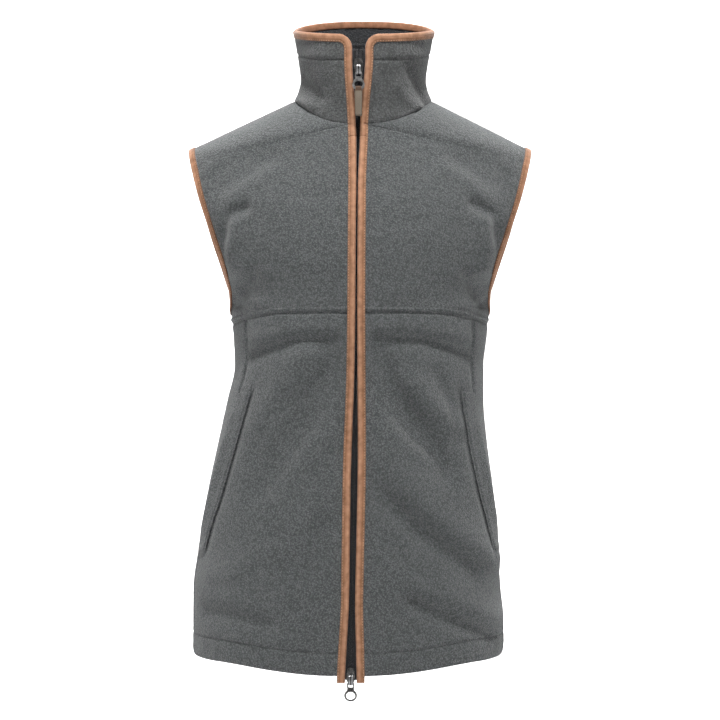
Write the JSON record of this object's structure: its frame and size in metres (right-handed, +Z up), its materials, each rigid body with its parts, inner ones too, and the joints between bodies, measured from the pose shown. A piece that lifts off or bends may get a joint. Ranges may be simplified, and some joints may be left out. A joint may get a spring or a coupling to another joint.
{
  "type": "sleeveless fleece vest",
  "caption": "Zip-front sleeveless fleece vest with a stand collar, slanted pocket welts and contrast binding, filled out as worn and empty inside.",
  "frame": {"origin": "middle of the neck opening at the height of the shoulder neck points, where the wearer's shoulders carry the vest", "axes": "+X to the wearer's left, +Y to the back, +Z up"},
  "size_m": [0.425, 0.2564, 0.8297],
  "materials": {
    "fleece": "nubbly brushed pile, slate grey",
    "suede_binding": "suede-look tape, tan, matte",
    "zip_tape": "woven, black",
    "zip_coil": "black coil",
    "dark_metal": "dark nickel, satin",
    "puller_tape": "smooth soft tape, olive grey"
  },
  "bodies": {
    "vest": {"back_panel": "fleece", "collar": "fleece", "front_yoke_left": "fleece", "front_yoke_right": "fleece", "front_panel_left": "fleece", "front_panel_right": "fleece", "side_panel_left": "fleece", "side_panel_right": "fleece", "pocket_welt_left": "fleece", "pocket_welt_right": "fleece", "front_binding_left": "suede_binding", "front_binding_right": "suede_binding", "collar_binding": "suede_binding", "armhole_binding_left": "suede_binding", "armhole_binding_right": "suede_binding", "zip_tape_left": "zip_tape", "zip_tape_right": "zip_tape", "zip_chain": "zip_coil", "zip_slider_top": "dark_metal", "zip_slider_bottom": "dark_metal"},
    "pull_top": {"zip_pull_top": "dark_metal", "zip_puller_strip": "puller_tape"},
    "pull_bottom": {"zip_pull_bottom": "dark_metal"}
  },
  "joints": [
    {"name": "pull_top_swing", "type": "hinge", "parent": "vest", "child": "pull_top", "pos_m": [-0.00176, -0.10044, 0.02196], "axis": [-1, 0, 0], "range_deg": [0, 120]},
    {"name": "pull_bottom_swing", "type": "hinge", "parent": "vest", "child": "pull_bottom", "pos_m": [-0.01094, -0.1341, -0.6966], "axis": [-1, 0, 0], "range_deg": [0, 120]}
  ]
}
